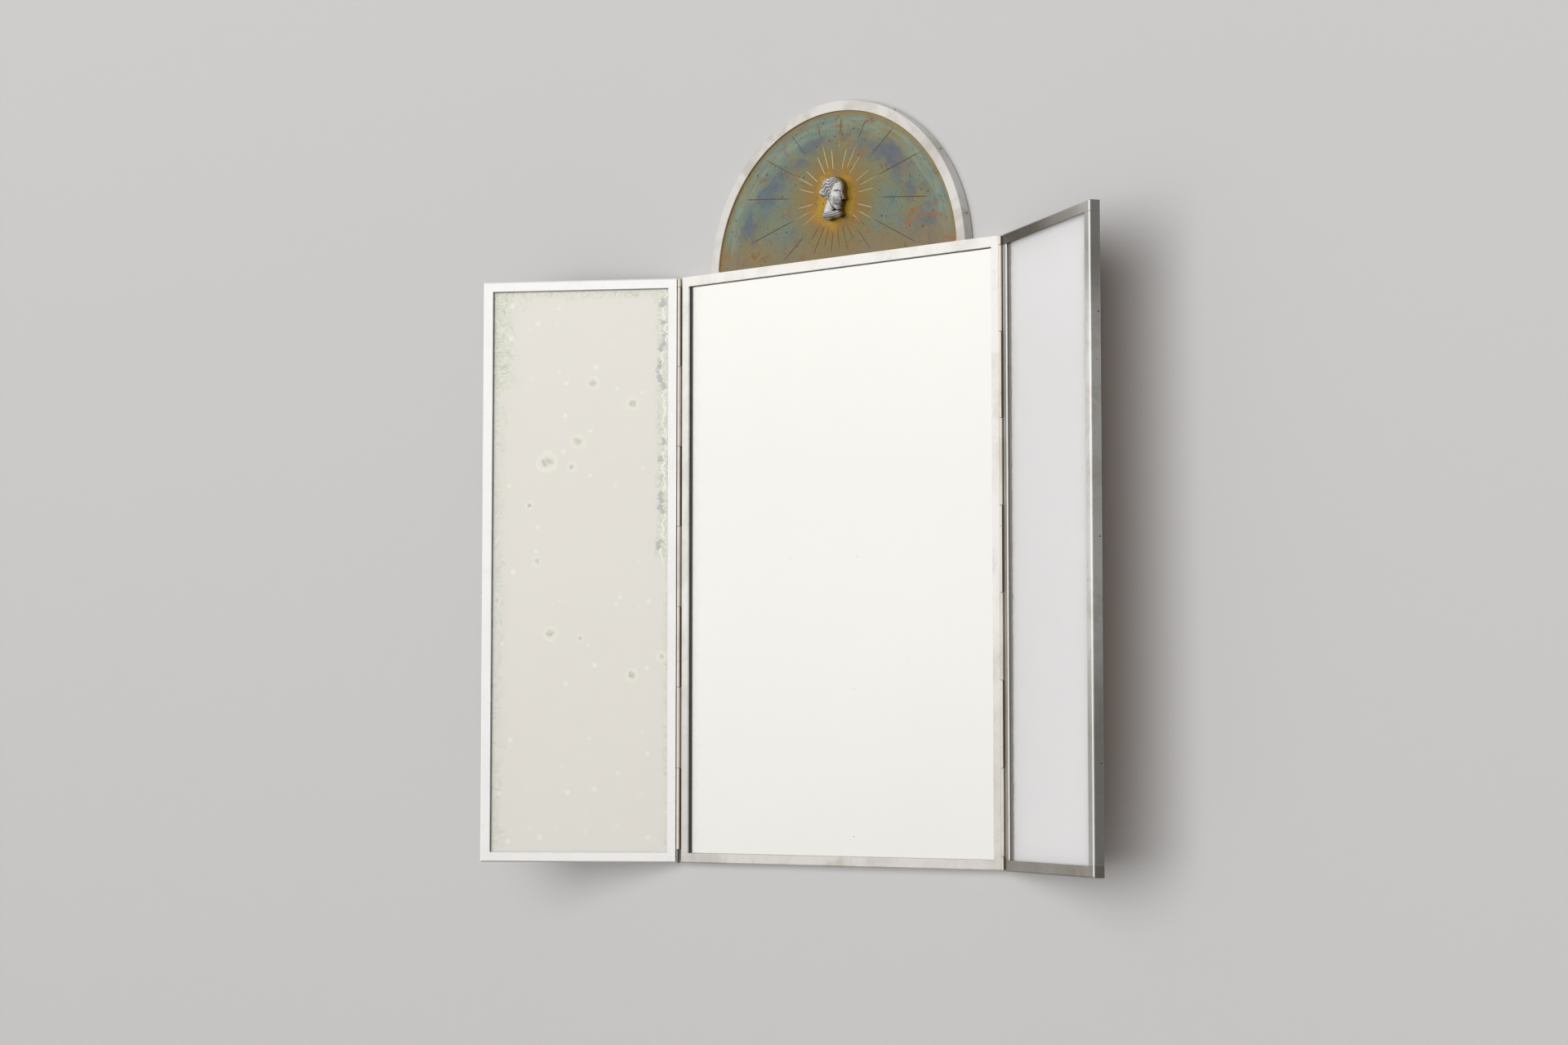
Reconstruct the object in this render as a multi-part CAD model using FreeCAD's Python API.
import FreeCAD, Part
import math
import os

# Folding wall mirror: a centre panel with a lunette above it and a wing hinged on each side.
# Millimetres, +Z up, +X to the viewer's right, -Y towards the viewer. The origin is the centre of the
# keyhole in the hanger, in the plane of the wall. Shapes are drawn with the front of the frames at
# y = 0 and their lower edge at z = 0, wings open flat, and move to that origin at the end.

V = FreeCAD.Vector
ACROSS = V(1, 0, 0)
INWARD = V(0, 1, 0)
UP = V(0, 0, 1)

# Frames
PANEL_H = 350.0
CENTRE_W = 240.8
CENTRE_DEPTH = 6.8
WING_DEPTH = 6.2
WING_MEET_GAP = 0.8
BAR_W = 6.0
LIP_T = 1.0
FLANGE_T = 1.0
EDGE_BEVEL = 0.8
ARRIS = 0.2

# Glazing, behind the lip
GLASS_T = 2.6
PACKING_T = 0.4
GLASS_GAP = 0.5

# Lunette
ARCH_R = 96.4
ARCH_CENTRE_DROP = 5.3
PLATE_T = 0.8
PLATE_GAP = 0.3
SOLDER_R = 1.6

# Hinges: knuckles in the groove between two bevelled edges
HINGE_GAP = 1.1
HINGE_PROUD = 0.4
KNUCKLE_R = 1.2
KNUCKLE_BOTTOM = 8.0
KNUCKLE_TOP = 5.6
LONG_KNUCKLES = 7
KNUCKLE_GAP = 0.3
KNUCKLE_FOOT_MARGIN = 0.1
KNUCKLE_WEB_W = 1.8
HINGE_PIN_R = 0.6
RUNNING_FIT = 0.05
PIN_RECESS = 1.0
LEFT_FOLD_ANGLE = 32.4
RIGHT_FOLD_ANGLE = 30.4

# Cut brads that hold the backs in the frames
BRAD_W = 0.9
BRAD_L = 6.0
BRAD_HEAD_R = 0.85
BRAD_HEAD_TOP_R = 0.5
BRAD_HEAD_T = 0.5
BRAD_HEAD_SIDES = 8
ARCH_BRADS = 7
ARCH_BRAD_DEPTH = 4.6
STILE_BRADS = 3

# Cast head on the lunette
HEAD_H = 25.6
HEAD_RISE = 34.6
HEAD_SHIFT = 0.4
HEAD_PROUD = 3.6
HEAD_TURN_ANGLE = 78.0
HEAD_TILT_ANGLE = 9.0
BUST_TILT_ANGLE = -14.0
HEAD_SECTION_POINTS = 8

# Its proportions, counted in heights of the head with its bust
NECK_FROM = 0.165
NECK_TO = 0.3
BROW_FROM = 0.58
BROW_TO = 0.84
HAIR_SLOPE_ANGLE = -22.0
HAIRLINE_TOP = 0.8
HAIRLINE_SLOPE_ANGLE = 470.0
HAIRLINE_BLUR_ANGLE = 35.0
FACE_RIDGE_ANGLE = 40.0
WALL_DEPTH = 0.3

# Tang of the head and its washer
TANG_W = 2.2
WASHER_W = 6.0
WASHER_T = 0.8
POCKET_GAP = 0.6

# Hanger with a keyhole
HANGER_T = 1.2
HANGER_HALF_W = 7.0
HANGER_DROP = 36.5
KEYHOLE_R = 4.2
KEYHOLE_SLOT_R = 2.0
KEYHOLE_TRAVEL = 9.0
TACK_MARGIN = 5.0
TACK_W = 1.6
TACK_HEAD_W = 3.6
TACK_GRIP = 2.5
NAIL_ROOM = 1.5
NAIL_DEPTH = 3.0

# Derived places
WING_W = (CENTRE_W - WING_MEET_GAP) / 2
HINGE_X = CENTRE_W / 2 + HINGE_GAP
WING_X = HINGE_X + HINGE_GAP
ARCH_Z = PANEL_H - ARCH_CENTRE_DROP
ARCH_INNER = ARCH_R - BAR_W
FILL_R = ARCH_R - FLANGE_T - PLATE_GAP
PLATE_BACK = LIP_T + PLATE_T
BACKING_Y = LIP_T + GLASS_T + PACKING_T
WALL_Y = CENTRE_DEPTH + HANGER_T
HEAD_Z = PANEL_H + HEAD_RISE
HANGER_Z = ARCH_Z + ARCH_R - HANGER_DROP
TACK_LOW = HANGER_Z - KEYHOLE_R - TACK_MARGIN
TACK_HIGH = HANGER_Z + KEYHOLE_TRAVEL + KEYHOLE_SLOT_R + TACK_MARGIN


def inset(rect, side, bottom=None, top=None):
    """Outline (x0, x1, z0, z1) drawn in by side, its bottom and top edges by their own amounts."""
    x0, x1, z0, z1 = rect
    low = side if bottom is None else bottom
    high = side if top is None else top
    return (x0 + side, x1 - side, z0 + low, z1 - high)


def square(width, x, z):
    """Outline (x0, x1, z0, z1) of a square round a point."""
    half = width / 2
    return (x - half, x + half, z - half, z + half)


def outline(rect, y):
    """Closed wire round an upright rectangle."""
    x0, x1, z0, z1 = rect
    corners = [V(x0, y, z0), V(x1, y, z0), V(x1, y, z1), V(x0, y, z1)]
    return Part.makePolygon(corners + corners[:1])


def slab(rect, y0, y1):
    """Upright sheet between two depths."""
    return Part.Face(outline(rect, y0)).extrude(INWARD * (y1 - y0))


def sloped_slab(front, back, y0, y_edge, y1):
    """Sheet whose edges slope from the front outline to the back outline, then run straight."""
    slope = Part.makeLoft([outline(front, y0), outline(back, y_edge)], True, True)
    return slope.fuse(slab(back, y_edge, y1)).removeSplitter()


def frame_ring(rect, depth, top_bevel):
    """L-section frame: a lip in front of the glass and a flange round its edge."""
    front = inset(rect, EDGE_BEVEL, EDGE_BEVEL, top_bevel)
    body = sloped_slab(front, rect, 0, EDGE_BEVEL, depth)
    rebate = slab(inset(rect, FLANGE_T), LIP_T, depth)
    window = sloped_slab(inset(rect, BAR_W - ARRIS), inset(rect, BAR_W), 0, ARRIS, LIP_T)
    return body.cut(rebate).cut(window)


def frame_bars(rect, depth, top_bevel):
    """The four bars of a frame: rails that run through and stiles butted between them."""
    ring = frame_ring(rect, depth, top_bevel)
    x0, x1, z0, z1 = rect
    middle = (x0 + x1) / 2
    zones = {
        "bottom_rail": (x0, x1, z0, z0 + BAR_W),
        "top_rail": (x0, x1, z1 - BAR_W, z1),
        "left_stile": (x0, middle, z0 + BAR_W, z1 - BAR_W),
        "right_stile": (middle, x1, z0 + BAR_W, z1 - BAR_W),
    }
    return {name: ring.common(slab(zone, 0, depth)) for name, zone in zones.items()}


def glazing(rect, depth):
    """Glass, packing sheet and backboard of one panel, standing on the lower flange."""
    loose = inset(rect, FLANGE_T + GLASS_GAP, FLANGE_T)
    return {
        "glass": slab(loose, LIP_T, LIP_T + GLASS_T),
        "packing": slab(loose, LIP_T + GLASS_T, BACKING_Y),
        "backboard": slab(inset(rect, FLANGE_T), BACKING_Y, depth),
    }


def stile_brads(rect, depth):
    """Square brads through both stiles into the edges of the backboard, filed flush."""
    x0, x1, z0, z1 = rect
    y = (BACKING_Y + depth - BRAD_W) / 2
    brads = []
    for row in range(STILE_BRADS):
        z = z0 + (z1 - z0) * (row + 0.5) / STILE_BRADS - BRAD_W / 2
        brads.append(Part.makeBox(BRAD_L, BRAD_W, BRAD_W, V(x0, y, z)))
        brads.append(Part.makeBox(BRAD_L, BRAD_W, BRAD_W, V(x1 - BRAD_L, y, z)))
    return Part.makeCompound(brads)


def panel(x0, width, depth, top_bevel):
    """All pieces of one rectangular panel."""
    rect = (x0, x0 + width, 0.0, PANEL_H)
    pieces = frame_bars(rect, depth, top_bevel)
    pieces.update(glazing(rect, depth))
    brads = stile_brads(rect, depth)
    for name in ("left_stile", "right_stile", "backboard"):
        pieces[name] = pieces[name].cut(brads)
    pieces["brads"] = brads
    return pieces


def half_chord(radius, height):
    """Half the width of the lunette's circle at a height above the top of the panel."""
    return math.sqrt(radius ** 2 - (ARCH_CENTRE_DROP + height) ** 2)


def arc_sheet(radius, y0, y1):
    """Sheet under an arc of the lunette, cut off level along the top of the panel."""
    half = half_chord(radius, 0)
    left = V(-half, y0, PANEL_H)
    right = V(half, y0, PANEL_H)
    crown = V(0, y0, ARCH_Z + radius)
    edges = [Part.Arc(right, crown, left).toShape(), Part.makeLine(left, right)]
    return Part.Face(Part.Wire(edges)).extrude(INWARD * (y1 - y0))


def arch_section():
    """L-section of the arch in the plane of its right foot."""
    bend = ARCH_R - FLANGE_T
    points = [
        (ARCH_R, ARRIS), (ARCH_R - ARRIS, 0), (ARCH_INNER + ARRIS, 0), (ARCH_INNER, ARRIS),
        (ARCH_INNER, LIP_T), (bend, LIP_T), (bend, CENTRE_DEPTH), (ARCH_R, CENTRE_DEPTH),
    ]
    corners = [V(r, y, ARCH_Z) for r, y in points]
    return Part.Face(Part.makePolygon(corners + corners[:1]))


def solder_run(side):
    """Concave run of solder where the foot of the arch meets the rail."""
    foot = half_chord(ARCH_INNER, 0)
    hollow = SOLDER_R * (1 - math.sqrt(0.5))
    toe = V(side * (foot - SOLDER_R), ARRIS, PANEL_H)
    waist = V(side * (foot - hollow), ARRIS, PANEL_H + hollow)
    top = V(side * half_chord(ARCH_INNER, SOLDER_R), ARRIS, PANEL_H + SOLDER_R)
    root = side * (foot + BAR_W / 2)
    band = Part.makePolygon([top, V(root, ARRIS, PANEL_H + SOLDER_R), V(root, ARRIS, PANEL_H), toe])
    wire = Part.Wire(band.Edges + [Part.Arc(toe, waist, top).toShape()])
    return Part.Face(wire).extrude(INWARD * (LIP_T - ARRIS))


def arch_frame():
    """Bent L-section band standing on the top rail."""
    turned = arch_section().revolve(V(0, 0, ARCH_Z), V(0, -1, 0), 180)
    above = Part.makeBox(2 * ARCH_R, CENTRE_DEPTH, ARCH_R, V(-ARCH_R, 0, PANEL_H))
    return turned.common(above).fuse([solder_run(-1), solder_run(1)]).removeSplitter()


def brad_head():
    """Faceted head of a hand-cut brad, standing on z = 0."""
    wires = []
    for radius, z in ((BRAD_HEAD_R, 0), (BRAD_HEAD_TOP_R, BRAD_HEAD_T)):
        turns = [2 * math.pi * side / BRAD_HEAD_SIDES for side in range(BRAD_HEAD_SIDES)]
        corners = [V(radius * math.cos(turn), radius * math.sin(turn), z) for turn in turns]
        wires.append(Part.makePolygon(corners + corners[:1]))
    return Part.makeLoft(wires, True, True)


def arch_brads(with_heads):
    """Brads driven radially through the arch, evenly spaced over the half circle."""
    brad = Part.makeBox(BRAD_W, BRAD_W, BRAD_L, V(-BRAD_W / 2, -BRAD_W / 2, -BRAD_L))
    if with_heads:
        brad = brad.fuse(brad_head())
    row = []
    for index in range(ARCH_BRADS):
        angle = 180 * (index + 0.5) / ARCH_BRADS
        one = brad.translated(V(0, ARCH_BRAD_DEPTH, ARCH_R))
        row.append(one.rotated(V(0, 0, 0), INWARD, 90 - angle).translated(UP * ARCH_Z))
    return Part.makeCompound(row)


def obround(radius, z_low, z_high, y0, y1):
    """Upright plate with round ends centred at two heights on the middle line."""
    low = [V(-radius, y0, z_low), V(0, y0, z_low - radius), V(radius, y0, z_low)]
    high = [V(radius, y0, z_high), V(0, y0, z_high + radius), V(-radius, y0, z_high)]
    edges = [
        Part.Arc(*low).toShape(), Part.makeLine(low[2], high[0]),
        Part.Arc(*high).toShape(), Part.makeLine(high[2], low[0]),
    ]
    return Part.Face(Part.Wire(edges)).extrude(INWARD * (y1 - y0))


def hanger_tacks():
    """Square tacks whose sunk heads lie flush with the back of the hanger."""
    thin = TACK_W / 2
    wide = TACK_HEAD_W / 2
    neck = WALL_Y - (wide - thin)
    tacks = []
    for z in (TACK_LOW, TACK_HIGH):
        head = Part.makeWedge(-thin, neck, -thin, -wide, -wide, thin, WALL_Y, thin, wide, wide)
        shank = slab(square(TACK_W, 0, 0), CENTRE_DEPTH - TACK_GRIP, neck)
        tacks.append(head.fuse(shank).translated(UP * z))
    return tacks


def keyhole_hanger(tacks):
    """Plate with a keyhole: a round entry and a slot above it that drops over a nail."""
    plate = obround(HANGER_HALF_W, TACK_LOW, TACK_HIGH, CENTRE_DEPTH, WALL_Y)
    entry = Part.makeCylinder(KEYHOLE_R, HANGER_T, V(0, CENTRE_DEPTH, HANGER_Z), INWARD)
    slot = obround(KEYHOLE_SLOT_R, HANGER_Z, HANGER_Z + KEYHOLE_TRAVEL, CENTRE_DEPTH, WALL_Y)
    return plate.cut(entry.fuse(slot)).cut(tacks)


def lunette_board(brads, tacks):
    """Back of the lunette, hollowed for the washer in front and for the nail behind the keyhole."""
    board = arc_sheet(FILL_R, PLATE_BACK, CENTRE_DEPTH)
    hollow = square(WASHER_W + 2 * POCKET_GAP, HEAD_SHIFT, HEAD_Z)
    washer = slab(hollow, PLATE_BACK, PLATE_BACK + WASHER_T + POCKET_GAP)
    floor = CENTRE_DEPTH - NAIL_DEPTH
    nail = obround(KEYHOLE_R + NAIL_ROOM, HANGER_Z, HANGER_Z + KEYHOLE_TRAVEL, floor, CENTRE_DEPTH)
    return board.cut([washer, nail, brads] + tacks)


def eased(value, low, high):
    """Smooth step from 0 at the low value to 1 at the high value."""
    part = min(max((value - low) / (high - low), 0), 1)
    return part * part * (3 - 2 * part)


def head_levels():
    """Height, half width, reach to the front and to the back, ridge of the face and swell of the hair."""
    bust = [
        (0.035, 0.140, 0.340, 0.225, 0, 0),
        (0.085, 0.112, 0.290, 0.230, 0, 0),
        (0.125, 0.132, 0.340, 0.260, 0, 0),
        (0.165, 0.105, 0.235, 0.245, 0, 0),
    ]
    neck = [
        (0.205, 0.082, 0.110, 0.235, 0, 0),
        (0.275, 0.080, 0.090, 0.235, 0, 0),
    ]
    face = [
        (0.305, 0.085, 0.155, 0.237, 0, 0),
        (0.440, 0.115, 0.180, 0.268, 0, 0),
        (0.465, 0.117, 0.180, 0.277, 0.045, 0),
        (0.575, 0.122, 0.178, 0.315, 0.014, 0),
        (0.620, 0.126, 0.196, 0.345, 0, 0.014),
    ]
    hair = [
        (0.730, 0.132, 0.194, 0.380, 0, 0.048),
        (0.785, 0.130, 0.184, 0.372, 0, 0.018),
        (0.860, 0.114, 0.156, 0.328, 0, 0.026),
        (0.920, 0.085, 0.108, 0.246, 0, 0.016),
        (0.955, 0.060, 0.064, 0.170, 0, 0.004),
    ]
    return bust + neck + face + hair


def head_section(height, half_width, front, back, ridge, swell):
    """Outline of the head at one height, facing -Y before the turn: half an oval on two straight walls."""
    hairline = HAIRLINE_SLOPE_ANGLE * (HAIRLINE_TOP - height)
    dome = []
    for step in range(HEAD_SECTION_POINTS + 1):
        off_face = 180 * step / HEAD_SECTION_POINTS
        covered = 1 / (1 + math.exp((hairline - off_face) / HAIRLINE_BLUR_ANGLE))
        extra = swell * covered + ridge * math.exp(-(off_face / FACE_RIDGE_ANGLE) ** 2)
        x = -(half_width + extra) * math.sin(math.radians(off_face))
        y = (back - front) / 2 - ((front + back) / 2 + extra) * math.cos(math.radians(off_face))
        dome.append(V(x, y, 0) * HEAD_H)
    curve = Part.BSplineCurve()
    curve.interpolate(dome)
    below = ACROSS * (WALL_DEPTH * HEAD_H)
    corners = [dome[-1], dome[-1] + below, dome[0] + below, dome[0]]
    walls = [Part.makeLine(*pair) for pair in zip(corners, corners[1:])]
    section = Part.Wire([curve.toShape()] + walls)
    foot = V(0, 0, 0)
    tilt = BUST_TILT_ANGLE + (HEAD_TILT_ANGLE - BUST_TILT_ANGLE) * eased(height, NECK_FROM, NECK_TO)
    section.rotate(foot, ACROSS, HAIR_SLOPE_ANGLE * eased(height, BROW_FROM, BROW_TO))
    section.rotate(foot, UP, HEAD_TURN_ANGLE)
    section.rotate(foot, INWARD, tilt)
    lean = math.tan(math.radians(HEAD_TILT_ANGLE))
    return section.translated(V(lean * height, 0, height) * HEAD_H)


def head_relief():
    """Classical head on a short draped bust, in high relief, with the tang that rivets it on."""
    head = Part.makeLoft([head_section(*level) for level in head_levels()], True, True)
    head.translate(V(HEAD_SHIFT, LIP_T - HEAD_PROUD, HEAD_Z - HEAD_H / 2))
    corner = V(HEAD_SHIFT - HEAD_H, LIP_T - HEAD_H, HEAD_Z - HEAD_H)
    proud = Part.makeBox(2 * HEAD_H, HEAD_H, 2 * HEAD_H, corner)
    tang = slab(square(TANG_W, HEAD_SHIFT, HEAD_Z), LIP_T, PLATE_BACK + WASHER_T)
    return head.common(proud).fuse(tang)


def head_washer():
    """Square washer on the back of the plate, under the riveted end of the tang."""
    whole = slab(square(WASHER_W, HEAD_SHIFT, HEAD_Z), PLATE_BACK, PLATE_BACK + WASHER_T)
    return whole.cut(slab(square(TANG_W, HEAD_SHIFT, HEAD_Z), PLATE_BACK, PLATE_BACK + WASHER_T))


def lunette_plate():
    """Sheet behind the arch with a hole for the tang of the head."""
    sheet = arc_sheet(FILL_R, LIP_T, PLATE_BACK)
    return sheet.cut(slab(square(TANG_W, HEAD_SHIFT, HEAD_Z), LIP_T, PLATE_BACK))


def knuckle_span(index):
    """Lower and upper end of a knuckle, counted from the bottom of the hinge."""
    long_from = KNUCKLE_BOTTOM
    long_to = PANEL_H - KNUCKLE_TOP
    step = (long_to - long_from) / LONG_KNUCKLES
    if index == 0:
        return EDGE_BEVEL, long_from - KNUCKLE_GAP / 2
    if index == LONG_KNUCKLES + 1:
        return long_to + KNUCKLE_GAP / 2, PANEL_H - EDGE_BEVEL
    low = long_from + step * (index - 1)
    return low + KNUCKLE_GAP / 2, low + step - KNUCKLE_GAP / 2


def knuckle(index, toward, bore):
    """Tube round the right hinge axis with a web soldered to the bevel of its frame on one side."""
    low, high = knuckle_span(index)
    axis = V(HINGE_X, -HINGE_PROUD, low)
    near = V(toward * (HINGE_GAP + KNUCKLE_FOOT_MARGIN), HINGE_PROUD + EDGE_BEVEL - KNUCKLE_FOOT_MARGIN, 0)
    far = V(toward * (HINGE_GAP + EDGE_BEVEL - KNUCKLE_FOOT_MARGIN), HINGE_PROUD + KNUCKLE_FOOT_MARGIN, 0)
    reach = (near + far).normalize()
    half = V(-reach.y, reach.x, 0) * (toward * KNUCKLE_WEB_W / 2)
    corners = [axis + half, axis + near, axis + far, axis - half]
    rise = UP * (high - low)
    web = Part.Face(Part.makePolygon(corners + corners[:1])).extrude(rise)
    tube = Part.makeCylinder(KNUCKLE_R, high - low, axis, UP)
    return tube.fuse(web).cut(Part.makeCylinder(bore, high - low, axis, UP)).removeSplitter()


def centre_knuckles():
    """Knuckles on the centre frame, every second one."""
    bore = HINGE_PIN_R + RUNNING_FIT
    return Part.makeCompound([knuckle(index, -1, bore) for index in range(1, LONG_KNUCKLES + 1, 2)])


def wing_knuckles(first):
    """Knuckles on the wing, with the short end ones tight on the pin."""
    row = []
    for index in range(first, LONG_KNUCKLES + 2, 2):
        at_end = index in (0, LONG_KNUCKLES + 1)
        row.append(knuckle(index, 1, HINGE_PIN_R if at_end else HINGE_PIN_R + RUNNING_FIT))
    return Part.makeCompound(row)


def hinge_pin(low):
    """Wire that runs through all the knuckles."""
    return Part.makeCylinder(HINGE_PIN_R, PANEL_H - PIN_RECESS - low, V(HINGE_X, -HINGE_PROUD, low), UP)


def wing(first_knuckle, pin_low):
    """Right wing, open flat, with its hinge pieces."""
    pieces = panel(WING_X, WING_W, WING_DEPTH, EDGE_BEVEL)
    pieces["hinge_stile"] = pieces.pop("left_stile")
    pieces["outer_stile"] = pieces.pop("right_stile")
    pieces["knuckles"] = wing_knuckles(first_knuckle)
    pieces["hinge_pin"] = hinge_pin(pin_low)
    return pieces


def folded(shape, angle):
    """A piece of the right wing, swung forward about its hinge."""
    return shape.rotated(V(HINGE_X, -HINGE_PROUD, 0), UP, -angle)


def mirrored(shape):
    """A piece of the right side, made for the left side."""
    return shape.mirror(V(0, 0, 0), ACROSS)


def lunette():
    """The arch and everything in it, with the hanger on its back."""
    shanks = arch_brads(False)
    tacks = hanger_tacks()
    return {
        "arch_frame": arch_frame().cut(shanks),
        "arch_brads": arch_brads(True),
        "lunette_plate": lunette_plate(),
        "lunette_backboard": lunette_board(shanks, tacks),
        "head_relief": head_relief(),
        "head_washer": head_washer(),
        "keyhole_hanger": keyhole_hanger(tacks),
        "hanger_tacks": Part.makeCompound(tacks),
    }


def assembly():
    """Every piece by name, at rest with both wings part folded."""
    pieces = lunette()
    for name, shape in panel(-CENTRE_W / 2, CENTRE_W, CENTRE_DEPTH, 0).items():
        pieces["centre_" + name] = shape
    pieces["right_centre_knuckles"] = centre_knuckles()
    pieces["left_centre_knuckles"] = mirrored(centre_knuckles())
    for name, shape in wing(0, PIN_RECESS).items():
        pieces["right_wing_" + name] = folded(shape, RIGHT_FOLD_ANGLE)
    for name, shape in wing(2, 0).items():
        pieces["left_wing_" + name] = mirrored(folded(shape, LEFT_FOLD_ANGLE))
    return pieces


os.makedirs("parts", exist_ok=True)
for node, piece in assembly().items():
    piece.translated(V(0, -WALL_Y, -HANGER_Z)).exportStep("parts/" + node + ".step")
